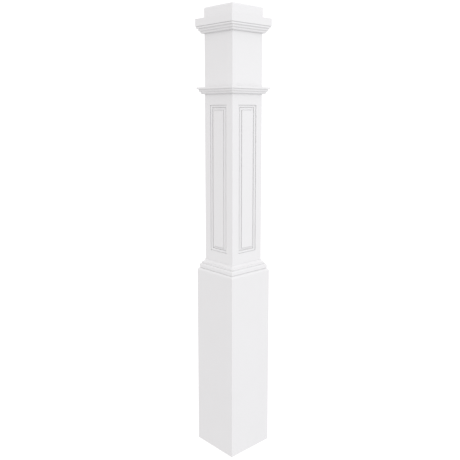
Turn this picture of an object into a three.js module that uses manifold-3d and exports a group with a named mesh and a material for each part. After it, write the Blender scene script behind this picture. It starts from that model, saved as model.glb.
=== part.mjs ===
// Newel post of a stair: a hollow, painted box post of mitred boards with a raised panel on each side.
// Millimetres, +Z up. The origin is on the floor, on the middle line of the post.
// The four sides face -Y (front), +X (right), +Y (back) and -X (left).
import * as THREE from 'three';
import { mergeVertices } from 'three/addons/utils/BufferGeometryUtils.js';
import Module from 'manifold-3d';

const wasm = await Module();
wasm.setup();

// Driving dimensions of the boards

const jointGap = 0.3; // open glue line between two pieces that meet
const shaftWidth = 127; // across the box that runs from the floor to the cap
const shaftHeight = 1360.2; // length of the shaft boards
const boardThickness = 19.05; // shaft boards and base boards alike
const baseHeight = 596.9; // length of the base boards that wrap the foot of the shaft
const baseEdgeRadius = 9.5; // round on the top edge of the base boards

// Driving dimensions of the moulding on top of the base boards

const skirtHeight = 29;
const skirtProjection = 14;
const skirtBandHeight = 8.5; // upright face of the lower tier
const skirtRoundHeight = 5.5; // round on top of the lower tier
const skirtRoundDepth = 4.5;
const skirtQuirkHeight = 1; // narrow groove between the tiers
const skirtQuirkDepth = 1;
const skirtUpperProjection = 9; // upright face of the upper tier
const skirtUpperHeight = 4.5;
const skirtTopEdge = 1.2; // thickness that the cove leaves at the top

// Driving dimensions of the moulding used twice, at the neck and under the cap

const plainBlockHeight = 163.4; // flat wood between the neck moulding and the cap moulding
const crownHeight = 21;
const crownProjection = 18.2;
const crownFilletHeight = 6; // square band along the top
const crownUpperProjection = 13.3; // upper band, with a round lower edge
const crownUpperHeight = 8.1;
const crownUpperRadius = 2.8;
const crownLowerProjection = 9; // lower band, with a round lower edge
const crownLowerRadius = 4.5;

// Driving dimensions of the raised panels

const stileWidth = 25; // flat wood left at each side of a panel
const railAbovePanel = 34; // from the panel up to the neck moulding
const railBelowPanel = 33; // from the panel down to the base moulding
const panelQuirkWidth = 1.3; // narrow cut at the edge of the flat wood and around the field
const panelQuirkDepth = 3.6;
const panelQuirkLean = 0.15; // how far each wall of that cut leans
const panelLipDepth = 1.8; // where the round and the bevel begin, under the flat wood
const panelRoundWidth = 6; // round that falls from the outer cut to the groove
const panelRoundDepth = 2.4;
const panelGrooveWidth = 1.8; // narrow groove between the round and the bevel
const panelGrooveDrop = 2.2; // how far the groove goes below their feet
const panelBevelWidth = 5.6; // slope that rises from the groove to the cut around the field

// Driving dimensions of the cap

const plateOverhang = 2; // how far the plate reaches past the moulding under it
const plateThickness = 23.2;
const blockWidth = 129;
const blockHeight = 35;
const blockEdgeRadius = 6.75;

// Facets of the rounds, and what the panel tool reaches past the wood it shapes

const roundFacets = 6;
const toolOverrun = 2;

// Sizes that follow from the driving dimensions

const shaftHalf = shaftWidth / 2;
const mitreSetback = jointGap / Math.SQRT2;
const wrapFace = shaftHalf + jointGap;
const skirtLevel = baseHeight + jointGap;
const crownLowerHeight = crownHeight - crownFilletHeight - crownUpperHeight;
const capMouldingLevel = shaftHeight - crownHeight;
const neckLevel = capMouldingLevel - plainBlockHeight - crownHeight;
const plateWidth = 2 * (wrapFace + crownProjection + plateOverhang);
const plateLevel = shaftHeight + jointGap;
const blockLevel = plateLevel + plateThickness + jointGap;
const panelBottom = skirtLevel + skirtHeight + railBelowPanel;
const panelTop = neckLevel - railAbovePanel;
const panelFootDepth = panelLipDepth + panelRoundDepth;
const panelGrooveDepth = panelFootDepth + panelGrooveDrop;
const panelGrooveInset = panelQuirkWidth + panelRoundWidth;
const panelBevelInset = panelGrooveInset + panelGrooveWidth;
const panelBevelTop = panelBevelInset + panelBevelWidth;
const panelFieldInset = panelBevelTop + panelQuirkWidth;
const panelHalfWidth = shaftHalf - stileWidth;
const panelHalfHeight = (panelTop - panelBottom) / 2;
const panelMiddle = (panelTop + panelBottom) / 2;

const sides = ['front', 'right', 'back', 'left'];
const quarterTurn = Math.PI / 2;

// Points of a quarter of an ellipse around (x, y), between two multiples of a quarter turn
function quarterRound(x, y, radiusX, radiusY, from, to) {
  const clockwise = to < from;
  const curve = new THREE.EllipseCurve(
    x, y, radiusX, radiusY, from * quarterTurn, to * quarterTurn, clockwise, 0,
  );
  return curve.getPoints(roundFacets);
}

// A straight bar along one side, cut at both ends on the mitre.
// Its outline is given as points (distance out from the inner face, height).
function mitredBar(outline, innerFace) {
  const shape = new THREE.Shape(outline);
  const bar = new THREE.ExtrudeGeometry(shape, { depth: 2, bevelEnabled: false, steps: 1 });
  const position = bar.attributes.position;
  for (let i = 0; i < position.count; i += 1) {
    const reach = innerFace + position.getX(i);
    const end = 1 - position.getZ(i);
    position.setXYZ(i, end * (reach - mitreSetback), -reach, position.getY(i));
  }
  return bar;
}

// A block whose horizontal section is a rectangle that changes from level to level.
// Levels run upwards, each with its height z and its half widths x and y.
function steppedBlock(levels) {
  const layers = levels.length - 1;
  const block = new THREE.BoxGeometry(2, 2, layers, 1, 1, layers);
  const position = block.attributes.position;
  for (let i = 0; i < position.count; i += 1) {
    const level = levels[Math.round(position.getZ(i) + layers / 2)];
    position.setXYZ(i, position.getX(i) * level.x, position.getY(i) * level.y, level.z);
  }
  return block;
}

// A closed geometry as a solid that can be cut and joined
function toSolid(geometry) {
  const bare = geometry.clone();
  bare.deleteAttribute('normal');
  bare.deleteAttribute('uv');
  const merged = mergeVertices(bare);
  return new wasm.Manifold(new wasm.Mesh({
    numProp: 3,
    vertProperties: new Float32Array(merged.attributes.position.array),
    triVerts: new Uint32Array(merged.index.array),
  }));
}

function toGeometry(solid) {
  const mesh = solid.getMesh();
  const geometry = new THREE.BufferGeometry();
  geometry.setAttribute('position', new THREE.BufferAttribute(mesh.vertProperties, 3));
  geometry.setIndex(new THREE.BufferAttribute(mesh.triVerts, 1));
  geometry.computeVertexNormals();
  return geometry;
}

// The section cut around a panel, as points (how far in from the panel's outline, depth under the face):
// a narrow cut, a round that falls to the groove, a bevel that rises from it, and a narrow cut again
function panelSection() {
  const round = quarterRound(panelQuirkWidth, panelFootDepth, panelRoundWidth, panelRoundDepth, -1, 0);
  return [
    new THREE.Vector2(0, -toolOverrun),
    new THREE.Vector2(0, 0),
    new THREE.Vector2(panelQuirkLean, panelQuirkDepth),
    new THREE.Vector2(panelQuirkWidth - panelQuirkLean, panelQuirkDepth),
    ...round,
    new THREE.Vector2(panelGrooveInset, panelGrooveDepth),
    new THREE.Vector2(panelBevelInset, panelGrooveDepth),
    new THREE.Vector2(panelBevelInset, panelFootDepth),
    new THREE.Vector2(panelBevelTop, panelLipDepth),
    new THREE.Vector2(panelBevelTop + panelQuirkLean, panelQuirkDepth),
    new THREE.Vector2(panelFieldInset - panelQuirkLean, panelQuirkDepth),
    new THREE.Vector2(panelFieldInset, 0),
    new THREE.Vector2(panelFieldInset, -toolOverrun),
  ];
}

// The wood taken out around the raised field of the front board: the section led round a rectangle
function panelCut() {
  const section = panelSection();
  const corners = [[-1, -1], [1, -1], [1, 1], [-1, 1]];
  const places = [];
  const triangles = [];
  corners.forEach(([sideX, sideZ], corner) => {
    const here = corner * section.length;
    const next = ((corner + 1) % corners.length) * section.length;
    section.forEach((point, i) => {
      const k = (i + 1) % section.length;
      const x = sideX * (panelHalfWidth - point.x);
      const z = sideZ * (panelHalfHeight - point.x);
      places.push(x, point.y - shaftHalf, panelMiddle + z);
      triangles.push(here + i, next + k, next + i, here + i, here + k, next + k);
    });
  });
  const cut = new THREE.BufferGeometry();
  cut.setAttribute('position', new THREE.Float32BufferAttribute(places, 3));
  cut.setIndex(triangles);
  return toSolid(cut);
}

function shaftBoard() {
  const outline = [
    new THREE.Vector2(0, 0),
    new THREE.Vector2(boardThickness, 0),
    new THREE.Vector2(boardThickness, shaftHeight),
    new THREE.Vector2(0, shaftHeight),
  ];
  const plain = toSolid(mitredBar(outline, shaftHalf - boardThickness));
  return toGeometry(plain.subtract(panelCut()));
}

function baseBoard() {
  const outline = [
    new THREE.Vector2(0, 0),
    new THREE.Vector2(boardThickness, 0),
    ...quarterRound(
      boardThickness - baseEdgeRadius, baseHeight - baseEdgeRadius, baseEdgeRadius, baseEdgeRadius, 0, 1,
    ),
    new THREE.Vector2(0, baseHeight),
  ];
  return mitredBar(outline, wrapFace);
}

// Two tiers: a band with a round top, then a narrow groove, an upright face and a cove
function baseMoulding() {
  const roundTop = skirtBandHeight + skirtRoundHeight;
  const quirk = skirtUpperProjection - skirtQuirkDepth;
  const upperFoot = roundTop + skirtQuirkHeight;
  const coveHeight = skirtHeight - upperFoot - skirtUpperHeight;
  const coveDepth = skirtUpperProjection - skirtTopEdge;
  const outline = [
    new THREE.Vector2(0, 0),
    new THREE.Vector2(skirtProjection, 0),
    ...quarterRound(
      skirtProjection - skirtRoundDepth, skirtBandHeight, skirtRoundDepth, skirtRoundHeight, 0, 1,
    ),
    new THREE.Vector2(quirk, roundTop),
    new THREE.Vector2(quirk, upperFoot),
    new THREE.Vector2(skirtUpperProjection, upperFoot),
    ...quarterRound(skirtUpperProjection, skirtHeight, coveDepth, coveHeight, -1, -2),
    new THREE.Vector2(0, skirtHeight),
  ];
  return mitredBar(outline, wrapFace).translate(0, 0, skirtLevel);
}

// A round lower edge up to radius above a foot, at the given projection
function roundLowerEdge(projection, foot, radius) {
  return quarterRound(projection - radius, foot + radius, radius, radius, -1, 0);
}

// Two bands with round lower edges and a square band, each standing further out than the one below
function crownMoulding(level) {
  const filletFoot = crownLowerHeight + crownUpperHeight;
  const outline = [
    new THREE.Vector2(0, 0),
    ...roundLowerEdge(crownLowerProjection, 0, crownLowerRadius),
    new THREE.Vector2(crownLowerProjection, crownLowerHeight),
    ...roundLowerEdge(crownUpperProjection, crownLowerHeight, crownUpperRadius),
    new THREE.Vector2(crownUpperProjection, filletFoot),
    new THREE.Vector2(crownProjection, filletFoot),
    new THREE.Vector2(crownProjection, crownHeight),
    new THREE.Vector2(0, crownHeight),
  ];
  return mitredBar(outline, wrapFace).translate(0, 0, level);
}

function capPlate() {
  const middle = plateLevel + plateThickness / 2;
  return new THREE.BoxGeometry(plateWidth, plateWidth, plateThickness).translate(0, 0, middle);
}

function capBlock() {
  const half = blockWidth / 2;
  const edge = quarterRound(
    half - blockEdgeRadius, blockHeight - blockEdgeRadius, blockEdgeRadius, blockEdgeRadius, 0, 1,
  );
  const levels = [{ z: 0, x: half, y: half }];
  for (const point of edge) {
    levels.push({ z: point.y, x: point.x, y: point.x });
  }
  return steppedBlock(levels).translate(0, 0, blockLevel);
}

function whitePaint() {
  return new THREE.MeshStandardMaterial({ color: 0xf3f3f4, roughness: 0.5, metalness: 0 });
}

function addPiece(parent, name, geometry) {
  const mesh = new THREE.Mesh(geometry, whitePaint());
  mesh.name = name;
  parent.add(mesh);
  return mesh;
}

// The same piece on all four sides of the post
function addRing(parent, name, geometry) {
  sides.forEach((side, turn) => {
    addPiece(parent, `${name}_${side}`, geometry).rotation.z = turn * quarterTurn;
  });
}

const newel = new THREE.Group();
newel.name = 'newel_post';
addRing(newel, 'shaft_board', shaftBoard());
addRing(newel, 'base_board', baseBoard());
addRing(newel, 'base_moulding', baseMoulding());
addRing(newel, 'neck_moulding', crownMoulding(neckLevel));
addRing(newel, 'cap_moulding', crownMoulding(capMouldingLevel));
addPiece(newel, 'cap_plate', capPlate());
addPiece(newel, 'cap_block', capBlock());

export default newel;
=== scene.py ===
"""Painted box newel post: finished meshes, satin white paint, bare wood inside, and a soft studio."""
import math

import bmesh
import bpy
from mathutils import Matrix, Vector


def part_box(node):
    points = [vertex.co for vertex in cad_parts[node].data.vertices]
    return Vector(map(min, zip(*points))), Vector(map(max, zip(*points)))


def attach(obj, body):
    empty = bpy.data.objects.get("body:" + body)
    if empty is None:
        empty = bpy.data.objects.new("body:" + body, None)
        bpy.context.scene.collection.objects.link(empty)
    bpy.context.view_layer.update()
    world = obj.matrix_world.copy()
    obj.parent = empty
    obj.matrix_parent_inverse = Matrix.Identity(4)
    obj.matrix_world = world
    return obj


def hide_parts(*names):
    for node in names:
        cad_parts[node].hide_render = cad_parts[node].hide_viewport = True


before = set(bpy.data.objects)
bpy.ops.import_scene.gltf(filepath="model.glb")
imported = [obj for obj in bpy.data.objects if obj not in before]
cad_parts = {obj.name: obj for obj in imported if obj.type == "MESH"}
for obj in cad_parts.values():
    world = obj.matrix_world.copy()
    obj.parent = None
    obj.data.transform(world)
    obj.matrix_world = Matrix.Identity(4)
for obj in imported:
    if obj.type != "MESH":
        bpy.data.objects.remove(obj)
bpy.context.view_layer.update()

# Sizes in metres, beyond those that the parts in model.glb give
EDGE_EASE = 0.0005        # sanded and painted edges of the mouldings
CORNER_EASE = 0.0007      # long outer corners of the boards
JOINT_HALF = 0.00004      # half the hairline left at a mitre
ROUND_STEPS = 12          # facets in a quarter round
EASE_STEPS = 3            # facets in an eased edge
EASE_ANGLE = math.radians(24)   # an outline corner sharper than this is eased
EASE_REACH = 0.4          # largest share of an edge that easing may take
MERGE_DISTANCE = 1e-7     # points closer than this are one point
INWARD_SHARE = 0.5        # a face whose normal points this much to +Y is turned to the hollow
FLOOR_REACH = 0.0005      # a face whose middle is lower than this lies on the floor

BASE_EDGE_RADIUS = 0.0095

SKIRT_BAND_HEIGHT = 0.0085
SKIRT_ROUND_HEIGHT = 0.0055
SKIRT_ROUND_DEPTH = 0.0045
SKIRT_QUIRK_HEIGHT = 0.001
SKIRT_QUIRK_DEPTH = 0.001
SKIRT_UPPER_PROJECTION = 0.009
SKIRT_UPPER_HEIGHT = 0.0045
SKIRT_TOP_EDGE = 0.0012

CROWN_FILLET_HEIGHT = 0.006
CROWN_UPPER_PROJECTION = 0.0133
CROWN_UPPER_HEIGHT = 0.0081
CROWN_UPPER_RADIUS = 0.0028
CROWN_LOWER_PROJECTION = 0.009
CROWN_LOWER_RADIUS = 0.0045

STILE_WIDTH = 0.025
RAIL_ABOVE_PANEL = 0.034
RAIL_BELOW_PANEL = 0.033
PANEL_QUIRK_WIDTH = 0.0013
PANEL_QUIRK_DEPTH = 0.0036
PANEL_QUIRK_LEAN = 0.00015
PANEL_LIP_DEPTH = 0.0018
PANEL_ROUND_WIDTH = 0.006
PANEL_ROUND_DEPTH = 0.0024
PANEL_GROOVE_WIDTH = 0.0018
PANEL_GROOVE_DROP = 0.0022
PANEL_BEVEL_WIDTH = 0.0056
PANEL_EASE = 0.00025     # sanded edges of the panel's narrow cuts
PANEL_MARGIN = 0.001      # flat wood kept clear at both ends of the panel's section

BLOCK_EDGE_RADIUS = 0.00675

SIDES = ("front", "right", "back", "left")
CORNERS = 4               # of a rectangle


# Outlines

def quarter(x, y, radius_x, radius_y, start, end):
    """Points of a quarter ellipse around (x, y), between two angles in quarter turns."""
    points = []
    for step in range(ROUND_STEPS + 1):
        angle = (start + (end - start) * step / ROUND_STEPS) * math.pi / 2
        points.append(Vector((x + radius_x * math.cos(angle), y + radius_y * math.sin(angle))))
    return points


def eased(points, radius, closed):
    """The outline with its sharp corners rounded, inside and outside, as sanding and paint leave them."""
    made = []
    count = len(points)
    for i, here in enumerate(points):
        if not closed and i in (0, count - 1):
            made.append(here)
            continue
        before = points[i - 1] - here
        after = points[(i + 1) % count] - here
        turn = math.pi - before.angle(after)
        hidden = closed and here.x == 0
        if turn < EASE_ANGLE or hidden:
            made.append(here)
            continue
        reach = radius * math.tan(turn / 2)
        reach = min(reach, before.length * EASE_REACH, after.length * EASE_REACH)
        first = here + before.normalized() * reach
        last = here + after.normalized() * reach
        for step in range(EASE_STEPS + 1):
            t = step / EASE_STEPS
            made.append(first * (1 - t) ** 2 + here * 2 * t * (1 - t) + last * t ** 2)
    return made


def base_board_outline(thickness, height):
    radius = BASE_EDGE_RADIUS
    return [
        Vector((0, 0)),
        Vector((thickness, 0)),
        *quarter(thickness - radius, height - radius, radius, radius, 0, 1),
        Vector((0, height)),
    ]


def skirt_outline(projection, height):
    """A band with a round top, a narrow groove, an upright face and a cove."""
    round_top = SKIRT_BAND_HEIGHT + SKIRT_ROUND_HEIGHT
    quirk = SKIRT_UPPER_PROJECTION - SKIRT_QUIRK_DEPTH
    upper_foot = round_top + SKIRT_QUIRK_HEIGHT
    cove_height = height - upper_foot - SKIRT_UPPER_HEIGHT
    cove_depth = SKIRT_UPPER_PROJECTION - SKIRT_TOP_EDGE
    return [
        Vector((0, 0)),
        Vector((projection, 0)),
        *quarter(
            projection - SKIRT_ROUND_DEPTH, SKIRT_BAND_HEIGHT, SKIRT_ROUND_DEPTH, SKIRT_ROUND_HEIGHT, 0, 1
        ),
        Vector((quirk, round_top)),
        Vector((quirk, upper_foot)),
        Vector((SKIRT_UPPER_PROJECTION, upper_foot)),
        *quarter(SKIRT_UPPER_PROJECTION, height, cove_depth, cove_height, -1, -2),
        Vector((0, height)),
    ]


def round_lower_edge(projection, foot, radius):
    return quarter(projection - radius, foot + radius, radius, radius, -1, 0)


def crown_outline(projection, height):
    """Two bands with round lower edges and a square band, each further out than the one below."""
    fillet_foot = height - CROWN_FILLET_HEIGHT
    lower_height = fillet_foot - CROWN_UPPER_HEIGHT
    return [
        Vector((0, 0)),
        *round_lower_edge(CROWN_LOWER_PROJECTION, 0, CROWN_LOWER_RADIUS),
        Vector((CROWN_LOWER_PROJECTION, lower_height)),
        *round_lower_edge(CROWN_UPPER_PROJECTION, lower_height, CROWN_UPPER_RADIUS),
        Vector((CROWN_UPPER_PROJECTION, fillet_foot)),
        Vector((projection, fillet_foot)),
        Vector((projection, height)),
        Vector((0, height)),
    ]


def panel_outline():
    """The panel's section as (inset from its outline, depth under the face), from the outside in."""
    groove = PANEL_QUIRK_WIDTH + PANEL_ROUND_WIDTH
    bevel = groove + PANEL_GROOVE_WIDTH
    bevel_top = bevel + PANEL_BEVEL_WIDTH
    field = bevel_top + PANEL_QUIRK_WIDTH
    foot = PANEL_LIP_DEPTH + PANEL_ROUND_DEPTH
    section = [
        Vector((-PANEL_MARGIN, 0)),
        Vector((0, 0)),
        Vector((PANEL_QUIRK_LEAN, PANEL_QUIRK_DEPTH)),
        Vector((PANEL_QUIRK_WIDTH - PANEL_QUIRK_LEAN, PANEL_QUIRK_DEPTH)),
        *quarter(PANEL_QUIRK_WIDTH, foot, PANEL_ROUND_WIDTH, PANEL_ROUND_DEPTH, -1, 0),
        Vector((groove, foot + PANEL_GROOVE_DROP)),
        Vector((bevel, foot + PANEL_GROOVE_DROP)),
        Vector((bevel, foot)),
        Vector((bevel_top, PANEL_LIP_DEPTH)),
        Vector((bevel_top + PANEL_QUIRK_LEAN, PANEL_QUIRK_DEPTH)),
        Vector((field - PANEL_QUIRK_LEAN, PANEL_QUIRK_DEPTH)),
        Vector((field, 0)),
        Vector((field + PANEL_MARGIN, 0)),
    ]
    return eased(section, PANEL_EASE, False)


# Meshes

def finish_mesh(bm, name):
    """Merges what coincides, points the faces out and gives the mesh as an object."""
    bmesh.ops.remove_doubles(bm, verts=bm.verts, dist=MERGE_DISTANCE)
    bmesh.ops.recalc_face_normals(bm, faces=bm.faces)
    mesh = bpy.data.meshes.new(name)
    bm.to_mesh(mesh)
    bm.free()
    piece = bpy.data.objects.new(name, mesh)
    bpy.context.scene.collection.objects.link(piece)
    return piece


def corner_arc(reach, radius):
    """Half of a rounded outer corner in plan, from the mitre to the flat of the front face."""
    points = []
    for step in range(EASE_STEPS + 1):
        angle = -math.pi / 4 - math.pi / 4 * step / EASE_STEPS
        points.append((
            reach - radius + radius * math.cos(angle),
            -reach + radius + radius * math.sin(angle),
        ))
    return points


def faces_inwards_or_down(face):
    """True of the inner face of a board, of its mitred edges and of its cut end at the floor."""
    return face.normal.y > INWARD_SHARE or face.calc_center_median().z < FLOOR_REACH


def mark_bare(bm, is_bare):
    """Marks the faces that carry no paint."""
    layer = bm.faces.layers.int.new("bare")
    for face in bm.faces:
        face[layer] = int(is_bare(face))


def moulding_run(name, outline, inner_face, level):
    """A length of moulding or board along the front side, mitred at both ends."""
    bm = bmesh.new()
    outline = eased(outline, EDGE_EASE, True)
    stations = []
    for step in range(2 * EASE_STEPS + 2):
        left = step <= EASE_STEPS
        arc_step = step if left else 2 * EASE_STEPS + 1 - step
        row = []
        for point in outline:
            reach = inner_face + point.x
            radius = CORNER_EASE if point.x > 2 * CORNER_EASE else 0
            x, y = corner_arc(reach, radius)[arc_step]
            x -= JOINT_HALF
            row.append(bm.verts.new((-x if left else x, y, level + point.y)))
        stations.append(row)
    count = len(outline)
    for before, after in zip(stations, stations[1:]):
        for j in range(count):
            k = (j + 1) % count
            bm.faces.new((before[j], after[j], after[k], before[k]))
    bm.faces.new(stations[0])
    bm.faces.new(stations[-1])
    mark_bare(bm, lambda face: False)
    return finish_mesh(bm, name)


def shaft_board(name, reach, inner, height, panel_low, panel_high):
    """A mitred board of the shaft with a raised panel worked in its face."""
    bm = bmesh.new()
    arc = corner_arc(reach, CORNER_EASE)
    left = [(-x + JOINT_HALF, y) for x, y in arc]
    right = [(x - JOINT_HALF, y) for x, y in reversed(arc)]
    plan = left + right + [(inner - JOINT_HALF, -inner), (-inner + JOINT_HALF, -inner)]
    low = [bm.verts.new((x, y, 0)) for x, y in plan]
    high = [bm.verts.new((x, y, height)) for x, y in plan]
    face_start = len(left) - 1
    for i in range(len(plan)):
        if i != face_start:
            k = (i + 1) % len(plan)
            bm.faces.new((low[i], low[k], high[k], high[i]))
    bm.faces.new(list(reversed(low)))
    bm.faces.new(high)
    ring = [low[face_start], low[face_start + 1], high[face_start + 1], high[face_start]]
    for point in panel_outline():
        across = reach - STILE_WIDTH - point.x
        bottom = panel_low + point.x
        top = panel_high - point.x
        y = -reach + point.y
        corners = ((-across, bottom), (across, bottom), (across, top), (-across, top))
        inside = [bm.verts.new((x, y, z)) for x, z in corners]
        for i in range(CORNERS):
            k = (i + 1) % CORNERS
            bm.faces.new((ring[i], ring[k], inside[k], inside[i]))
        ring = inside
    bm.faces.new(ring)
    bmesh.ops.recalc_face_normals(bm, faces=bm.faces)
    mark_bare(bm, faces_inwards_or_down)
    return finish_mesh(bm, name)


def square_stack(name, levels, level):
    """A square block with rounded upright corners. Levels are (half width, height above its foot)."""
    bm = bmesh.new()
    rings = []
    for half, z in levels:
        ring = []
        for corner in range(CORNERS):
            for step in range(2 * EASE_STEPS + 1):
                angle = (corner + step / (2 * EASE_STEPS)) * math.pi / 2
                side_x = 1 if corner in (0, 3) else -1
                side_y = 1 if corner in (0, 1) else -1
                x = side_x * (half - CORNER_EASE) + CORNER_EASE * math.cos(angle)
                y = side_y * (half - CORNER_EASE) + CORNER_EASE * math.sin(angle)
                ring.append(bm.verts.new((x, y, level + z)))
        rings.append(ring)
    count = len(rings[0])
    for lower, upper in zip(rings, rings[1:]):
        for j in range(count):
            k = (j + 1) % count
            bm.faces.new((lower[j], lower[k], upper[k], upper[j]))
    bm.faces.new(list(reversed(rings[0])))
    bm.faces.new(rings[-1])
    return finish_mesh(bm, name)


# Materials: noise scales are per metre and reliefs are in metres
NOISE_LOW = 0.3           # most values of a noise lie between these two
NOISE_HIGH = 0.7
NOISE_ROUGHNESS = 0.55
DETAIL_PLAIN = 2.0        # octaves of a noise
DETAIL_FINE = 3.0
DETAIL_FINEST = 4.0

GRAIN_UP = (1.0, 1.0, 0.03)   # stretches the marks along the boards
GRAIN_ACROSS = (0.03, 1.0, 1.0)
GRAIN_EVEN = (1.0, 1.0, 1.0)

PAINT_WHITE = (0.780, 0.777, 0.779, 1.0)
PAINT_PALER = (0.792, 0.790, 0.793, 1.0)
PAINT_OVER_GRAIN = (0.76, 0.756, 0.755, 1.0)
PAINT_CLOUD_SCALE = 7.0
PAINT_GRAIN_SCALE = 180.0
PAINT_BRUSH_SCALE = 600.0
PAINT_FLOW_SCALE = 320.0
PAINT_FLOW_ROUGHNESS = 0.4
PAINT_GRAIN_START = 0.62  # the grain tones the paint from this noise value on
PAINT_GRAIN_FULL = 0.8
PAINT_GRAIN_SHARE = 0.2
PAINT_SHEEN_LOW = 0.40    # roughness of the sheen, from glossy to dull
PAINT_SHEEN_HIGH = 0.50
PAINT_GRAIN_RELIEF = 0.00002
PAINT_BRUSH_RELIEF = 0.00001
PAINT_FLOW_RELIEF = 0.000015
PAINT_IOR = 1.48

WOOD_STRETCH = (1.0, 1.0, 0.06)
WOOD_RING_SCALE = 55.0
WOOD_RING_WAVES = 34.0
WOOD_FIBRE_SCALE = 700.0
WOOD_DARK_RING = (0.60, 0.45, 0.27, 1.0)
WOOD_PALE_RING = (0.71, 0.57, 0.37, 1.0)
WOOD_FIBRE = (0.47, 0.34, 0.19, 1.0)
WOOD_FIBRE_START = 0.45   # the fibres darken the wood from this noise value on
WOOD_FIBRE_FULL = 0.75
WOOD_FIBRE_SHARE = 0.6
WOOD_ROUGHNESS_LOW = 0.6
WOOD_ROUGHNESS_HIGH = 0.75
WOOD_FIBRE_RELIEF = 0.0001

# Places of the sockets of a mix node that mixes colours
MIX_FACTOR = 0
MIX_COLOUR_A = 6
MIX_COLOUR_B = 7
MIX_RESULT = 2


class Nodes:
    """Short calls for building a node tree."""

    def __init__(self, tree):
        self.tree = tree

    def add(self, kind, inputs=(), **settings):
        node = self.tree.nodes.new(kind)
        for key, value in settings.items():
            setattr(node, key, value)
        for key, value in dict(inputs).items():
            if isinstance(value, bpy.types.NodeSocket):
                self.tree.links.new(value, node.inputs[key])
            else:
                node.inputs[key].default_value = value
        return node

    def noise(self, vector, scale, detail, roughness=NOISE_ROUGHNESS):
        return self.add("ShaderNodeTexNoise", {
            "Vector": vector, "Scale": scale, "Detail": detail, "Roughness": roughness,
        }).outputs["Fac"]

    def spread(self, value, low, high, to_low, to_high):
        return self.add("ShaderNodeMapRange", {
            0: value, 1: low, 2: high, 3: to_low, 4: to_high,
        }).outputs[0]

    def stretch(self, vector, scale):
        return self.add("ShaderNodeMapping", {"Vector": vector, "Scale": scale}).outputs[0]

    def blend(self, factor, colour_a, colour_b):
        return self.add("ShaderNodeMix", {
            MIX_FACTOR: factor, MIX_COLOUR_A: colour_a, MIX_COLOUR_B: colour_b,
        }, data_type="RGBA").outputs[MIX_RESULT]

    def bump(self, height, distance, normal=None):
        inputs = {"Height": height, "Distance": distance, "Strength": 1.0}
        if normal is not None:
            inputs["Normal"] = normal
        return self.add("ShaderNodeBump", inputs).outputs[0]


def new_material(name):
    material = bpy.data.materials.new(name)
    material.use_nodes = True
    nodes = Nodes(material.node_tree)
    shader = material.node_tree.nodes["Principled BSDF"]
    place = nodes.add("ShaderNodeTexCoord").outputs["Object"]
    return material, nodes, shader, place


def white_paint(name, grain_stretch):
    """Satin white enamel over planed wood: brush marks, a trace of grain and a slightly uneven sheen."""
    material, nodes, shader, place = new_material(name)
    grain_place = nodes.stretch(place, grain_stretch)
    grain = nodes.noise(grain_place, PAINT_GRAIN_SCALE, DETAIL_FINE)
    brush = nodes.noise(grain_place, PAINT_BRUSH_SCALE, DETAIL_PLAIN)
    flow = nodes.noise(place, PAINT_FLOW_SCALE, DETAIL_PLAIN, PAINT_FLOW_ROUGHNESS)
    cloud = nodes.noise(place, PAINT_CLOUD_SCALE, DETAIL_FINE)
    paleness = nodes.spread(cloud, NOISE_LOW, NOISE_HIGH, 0.0, 1.0)
    white = nodes.blend(paleness, PAINT_WHITE, PAINT_PALER)
    tone = nodes.spread(grain, PAINT_GRAIN_START, PAINT_GRAIN_FULL, 0.0, PAINT_GRAIN_SHARE)
    toned = nodes.blend(tone, white, PAINT_OVER_GRAIN)
    links = material.node_tree.links
    links.new(toned, shader.inputs["Base Color"])
    sheen = nodes.spread(brush, NOISE_LOW, NOISE_HIGH, PAINT_SHEEN_LOW, PAINT_SHEEN_HIGH)
    links.new(sheen, shader.inputs["Roughness"])
    relief = nodes.bump(grain, PAINT_GRAIN_RELIEF)
    relief = nodes.bump(brush, PAINT_BRUSH_RELIEF, relief)
    relief = nodes.bump(flow, PAINT_FLOW_RELIEF, relief)
    links.new(relief, shader.inputs["Normal"])
    shader.inputs["IOR"].default_value = PAINT_IOR
    return material


def bare_wood(name):
    """Planed pale hardwood, left raw inside the box, its grain running up the boards."""
    material, nodes, shader, place = new_material(name)
    long_place = nodes.stretch(place, WOOD_STRETCH)
    rings = nodes.noise(long_place, WOOD_RING_SCALE, DETAIL_FINE)
    bands = nodes.add("ShaderNodeMath", {0: rings, 1: WOOD_RING_WAVES}, operation="MULTIPLY").outputs[0]
    wave = nodes.add("ShaderNodeMath", {0: bands}, operation="SINE").outputs[0]
    fibre = nodes.noise(long_place, WOOD_FIBRE_SCALE, DETAIL_FINEST)
    base = nodes.blend(nodes.spread(wave, -1.0, 1.0, 0.0, 1.0), WOOD_DARK_RING, WOOD_PALE_RING)
    tone = nodes.spread(fibre, WOOD_FIBRE_START, WOOD_FIBRE_FULL, 0.0, WOOD_FIBRE_SHARE)
    toned = nodes.blend(tone, base, WOOD_FIBRE)
    links = material.node_tree.links
    links.new(toned, shader.inputs["Base Color"])
    roughness = nodes.spread(fibre, NOISE_LOW, NOISE_HIGH, WOOD_ROUGHNESS_LOW, WOOD_ROUGHNESS_HIGH)
    links.new(roughness, shader.inputs["Roughness"])
    links.new(nodes.bump(fibre, WOOD_FIBRE_RELIEF), shader.inputs["Normal"])
    return material


# The same piece on all four sides

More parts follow.
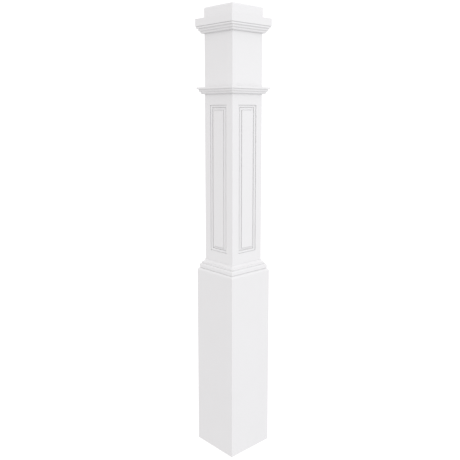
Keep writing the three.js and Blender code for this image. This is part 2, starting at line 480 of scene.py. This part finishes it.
def side_tree():
    """Geometry Nodes: turns copies of one side around the post and gives them paint or bare wood."""
    tree = bpy.data.node_groups.new("around_the_post", "GeometryNodeTree")
    sockets = {}
    for name, kind in (
        ("Geometry", "NodeSocketGeometry"),
        ("Side Count", "NodeSocketInt"),
        ("Paint", "NodeSocketMaterial"),
        ("Bare Wood", "NodeSocketMaterial"),
    ):
        sockets[name] = tree.interface.new_socket(name=name, in_out="INPUT", socket_type=kind).identifier
    tree.interface.new_socket(name="Geometry", in_out="OUTPUT", socket_type="NodeSocketGeometry")
    nodes = Nodes(tree)
    given = nodes.add("NodeGroupInput").outputs
    spots = nodes.add("GeometryNodeMeshLine", {"Count": given["Side Count"], "Offset": (0, 0, 0)})
    index = nodes.add("GeometryNodeInputIndex").outputs[0]
    turn = nodes.add("ShaderNodeMath", {0: index, 1: math.tau}, operation="MULTIPLY").outputs[0]
    turn = nodes.add("ShaderNodeMath", {0: turn, 1: given["Side Count"]}, operation="DIVIDE").outputs[0]
    spin = nodes.add("ShaderNodeCombineXYZ", {"Z": turn}).outputs[0]
    copies = nodes.add("GeometryNodeInstanceOnPoints", {
        "Points": spots.outputs[0], "Instance": given["Geometry"], "Rotation": spin,
    }).outputs[0]
    real = nodes.add("GeometryNodeRealizeInstances", {"Geometry": copies}).outputs[0]
    painted = nodes.add("GeometryNodeSetMaterial", {"Geometry": real, "Material": given["Paint"]}).outputs[0]
    bare = nodes.add("GeometryNodeInputNamedAttribute", {"Name": "bare"}, data_type="INT").outputs[0]
    shown = nodes.add("GeometryNodeSetMaterial", {
        "Geometry": painted, "Selection": bare, "Material": given["Bare Wood"],
    }).outputs[0]
    nodes.add("NodeGroupOutput", {"Geometry": shown})
    return tree, sockets


def around_post(tree, sockets, side_piece, paint, wood):
    """The piece of one side, repeated on all sides, as one plain mesh."""
    name = side_piece.name.replace("_side", "")
    modifier = side_piece.modifiers.new("around", "NODES")
    modifier.node_group = tree
    modifier[sockets["Side Count"]] = len(SIDES)
    modifier[sockets["Paint"]] = paint
    modifier[sockets["Bare Wood"]] = wood
    depsgraph = bpy.context.evaluated_depsgraph_get()
    mesh = bpy.data.meshes.new_from_object(side_piece.evaluated_get(depsgraph))
    mesh.name = name
    piece = bpy.data.objects.new(name, mesh)
    bpy.context.scene.collection.objects.link(piece)
    bpy.data.objects.remove(side_piece)
    return piece


def stand_for(piece, slot, *nodes):
    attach(piece, "root")
    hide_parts(*nodes)


def all_sides(name):
    return [f"{name}_{side}" for side in SIDES]


# The post

def build_shaft_boards(tree, sockets, paint, wood):
    low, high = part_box("shaft_board_front")
    skirt_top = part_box("base_moulding_front")[1].z
    neck_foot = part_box("neck_moulding_front")[0].z
    side = shaft_board(
        "shaft_boards_side", -low.y, -high.y, high.z,
        skirt_top + RAIL_BELOW_PANEL, neck_foot - RAIL_ABOVE_PANEL,
    )
    piece = around_post(tree, sockets, side, paint, wood)
    stand_for(piece, "painted_boards", *all_sides("shaft_board"))


def build_base_boards(tree, sockets, paint, wood):
    low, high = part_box("base_board_front")
    outline = base_board_outline(high.y - low.y, high.z)
    side = moulding_run("base_boards_side", outline, -high.y, 0)
    piece = around_post(tree, sockets, side, paint, wood)
    stand_for(piece, "painted_boards", *all_sides("base_board"))


def build_base_mouldings(tree, sockets, paint, wood):
    low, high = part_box("base_moulding_front")
    outline = skirt_outline(high.y - low.y, high.z - low.z)
    side = moulding_run("base_mouldings_side", outline, -high.y, low.z)
    piece = around_post(tree, sockets, side, paint, wood)
    stand_for(piece, "painted_mouldings", *all_sides("base_moulding"))


def build_crown_mouldings(tree, sockets, node, paint, wood):
    """The moulding that is used twice, at the neck and under the cap."""
    low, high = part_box(f"{node}_front")
    outline = crown_outline(high.y - low.y, high.z - low.z)
    side = moulding_run(f"{node}s_side", outline, -high.y, low.z)
    piece = around_post(tree, sockets, side, paint, wood)
    stand_for(piece, "painted_mouldings", *all_sides(node))


def build_cap_plate(paint):
    low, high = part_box("cap_plate")
    height = high.z - low.z
    section = [Vector((0, 0)), Vector((high.x, 0)), Vector((high.x, height)), Vector((0, height))]
    plate = square_stack("cap_plate_finished", eased(section, EDGE_EASE, True)[1:-1], low.z)
    plate.data.materials.append(paint)
    stand_for(plate, "painted_cap", "cap_plate")


def build_cap_block(paint):
    low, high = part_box("cap_block")
    height = high.z - low.z
    radius = BLOCK_EDGE_RADIUS
    outline = [Vector((high.x, 0)), *quarter(high.x - radius, height - radius, radius, radius, 0, 1)]
    block = square_stack("cap_block_finished", outline, low.z)
    block.data.materials.append(paint)
    stand_for(block, "painted_cap", "cap_block")


def build_post():
    paint_up = white_paint("white_enamel_boards", GRAIN_UP)
    paint_trim = white_paint("white_enamel_mouldings", GRAIN_EVEN)
    paint_across = white_paint("white_enamel_cap", GRAIN_ACROSS)
    wood = bare_wood("bare_planed_wood")
    tree, sockets = side_tree()
    build_shaft_boards(tree, sockets, paint_up, wood)
    build_base_boards(tree, sockets, paint_up, wood)
    build_base_mouldings(tree, sockets, paint_trim, wood)
    build_crown_mouldings(tree, sockets, "neck_moulding", paint_trim, wood)
    build_crown_mouldings(tree, sockets, "cap_moulding", paint_trim, wood)
    build_cap_plate(paint_across)
    build_cap_block(paint_across)


# The studio
FLOOR_HALF = 80.0
FLOOR_COLOUR = (0.6, 0.6, 0.6, 1.0)
FLOOR_GLOW_COLOUR = (1.0, 1.0, 1.0, 1.0)
FLOOR_GLOW = 0.5
WORLD_HORIZON = 1.195     # brightness of the studio's walls
WORLD_ZENITH = 1.06
WORLD_NADIR = 0.58
WORLD_BRIGHT_SIDE = (0.707, 0.707, 0.0)   # the walls are a little brighter and cooler this way
WORLD_SIDE_CHANGE = 0.06
WORLD_WARM_TINT = (1.0, 0.985, 0.99, 1.0)
WORLD_COOL_TINT = (0.985, 0.985, 1.0, 1.0)
KEY_PLACE = (3.4, -0.3, 2.3)
KEY_TARGET = (0, 0, 1.3)
KEY_SIZE = 1.6
KEY_POWER = 10.0


def build_floor():
    """A pale floor that runs into the white background."""
    mesh = bpy.data.meshes.new("floor")
    corners = [
        (-FLOOR_HALF, -FLOOR_HALF, 0),
        (FLOOR_HALF, -FLOOR_HALF, 0),
        (FLOOR_HALF, FLOOR_HALF, 0),
        (-FLOOR_HALF, FLOOR_HALF, 0),
    ]
    mesh.from_pydata(corners, [], [(0, 1, 2, 3)])
    floor = bpy.data.objects.new("floor", mesh)
    bpy.context.scene.collection.objects.link(floor)
    material = bpy.data.materials.new("pale_floor")
    material.use_nodes = True
    shader = material.node_tree.nodes["Principled BSDF"]
    shader.inputs["Base Color"].default_value = FLOOR_COLOUR
    shader.inputs["Roughness"].default_value = 1.0
    shader.inputs["Specular IOR Level"].default_value = 0.0
    shader.inputs["Emission Color"].default_value = FLOOR_GLOW_COLOUR
    shader.inputs["Emission Strength"].default_value = FLOOR_GLOW
    mesh.materials.append(material)
    floor.visible_diffuse = False
    floor.visible_glossy = False


def build_world():
    """A white room: its walls are the brightest, one side more than the other, and its floor is dim."""
    world = bpy.data.worlds.new("studio")
    bpy.context.scene.world = world
    world.use_nodes = True
    nodes = Nodes(world.node_tree)
    background = world.node_tree.nodes["Background"]
    direction = nodes.add("ShaderNodeTexCoord").outputs["Generated"]
    height = nodes.add("ShaderNodeSeparateXYZ", {0: direction}).outputs["Z"]
    upper = nodes.spread(height, 0.0, 1.0, WORLD_HORIZON, WORLD_ZENITH)
    lower = nodes.spread(height, -1.0, 0.0, WORLD_NADIR / WORLD_HORIZON, 1.0)
    even = nodes.add("ShaderNodeMath", {0: upper, 1: lower}, operation="MULTIPLY").outputs[0]
    sideways = nodes.add(
        "ShaderNodeVectorMath", {0: direction, 1: WORLD_BRIGHT_SIDE}, operation="DOT_PRODUCT"
    ).outputs["Value"]
    change = nodes.spread(sideways, -1.0, 1.0, 1 - WORLD_SIDE_CHANGE, 1 + WORLD_SIDE_CHANGE)
    brightness = nodes.add("ShaderNodeMath", {0: even, 1: change}, operation="MULTIPLY").outputs[0]
    coolness = nodes.spread(sideways, -1.0, 1.0, 0.0, 1.0)
    tint = nodes.blend(coolness, WORLD_WARM_TINT, WORLD_COOL_TINT)
    world.node_tree.links.new(tint, background.inputs["Color"])
    world.node_tree.links.new(brightness, background.inputs["Strength"])


def build_key_light():
    """One soft light from the right, higher than the post."""
    data = bpy.data.lights.new("key_right", "AREA")
    data.shape = "SQUARE"
    data.size = KEY_SIZE
    data.energy = KEY_POWER
    light = bpy.data.objects.new("key_right", data)
    light.location = KEY_PLACE
    light.rotation_euler = (Vector(KEY_TARGET) - Vector(KEY_PLACE)).to_track_quat("-Z", "Y").to_euler()
    bpy.context.scene.collection.objects.link(light)


# The camera, worked out from the edges of the post in the photograph
PHOTO_SIZE = 460
CAMERA_AZIMUTH = math.radians(46.92)
CAMERA_YAW = math.radians(0.318)
CAMERA_PITCH = math.radians(8.21)
CAMERA_DISTANCE = 1.876
CAMERA_HEIGHT = 1.0976
FOCAL_PIXELS = 589.8
CENTRE_ROW = 197.7
SENSOR_WIDTH = 36.0


def build_camera():
    """A camera with the photograph's point of view and opening."""
    data = bpy.data.cameras.new("camera")
    data.sensor_fit = "HORIZONTAL"
    data.sensor_width = SENSOR_WIDTH
    data.lens = SENSOR_WIDTH * FOCAL_PIXELS / PHOTO_SIZE
    data.shift_y = (CENTRE_ROW - PHOTO_SIZE / 2) / PHOTO_SIZE
    camera = bpy.data.objects.new("camera", data)
    camera.location = (
        CAMERA_DISTANCE * math.sin(CAMERA_AZIMUTH),
        -CAMERA_DISTANCE * math.cos(CAMERA_AZIMUTH),
        CAMERA_HEIGHT,
    )
    heading = CAMERA_AZIMUTH + CAMERA_YAW
    look = Vector((
        -math.sin(heading) * math.cos(CAMERA_PITCH),
        math.cos(heading) * math.cos(CAMERA_PITCH),
        -math.sin(CAMERA_PITCH),
    ))
    camera.rotation_euler = look.to_track_quat("-Z", "Y").to_euler()
    bpy.context.scene.collection.objects.link(camera)
    bpy.context.scene.camera = camera


build_camera()
build_post()
build_floor()
build_world()
build_key_light()
bpy.context.scene.view_settings.view_transform = "Standard"
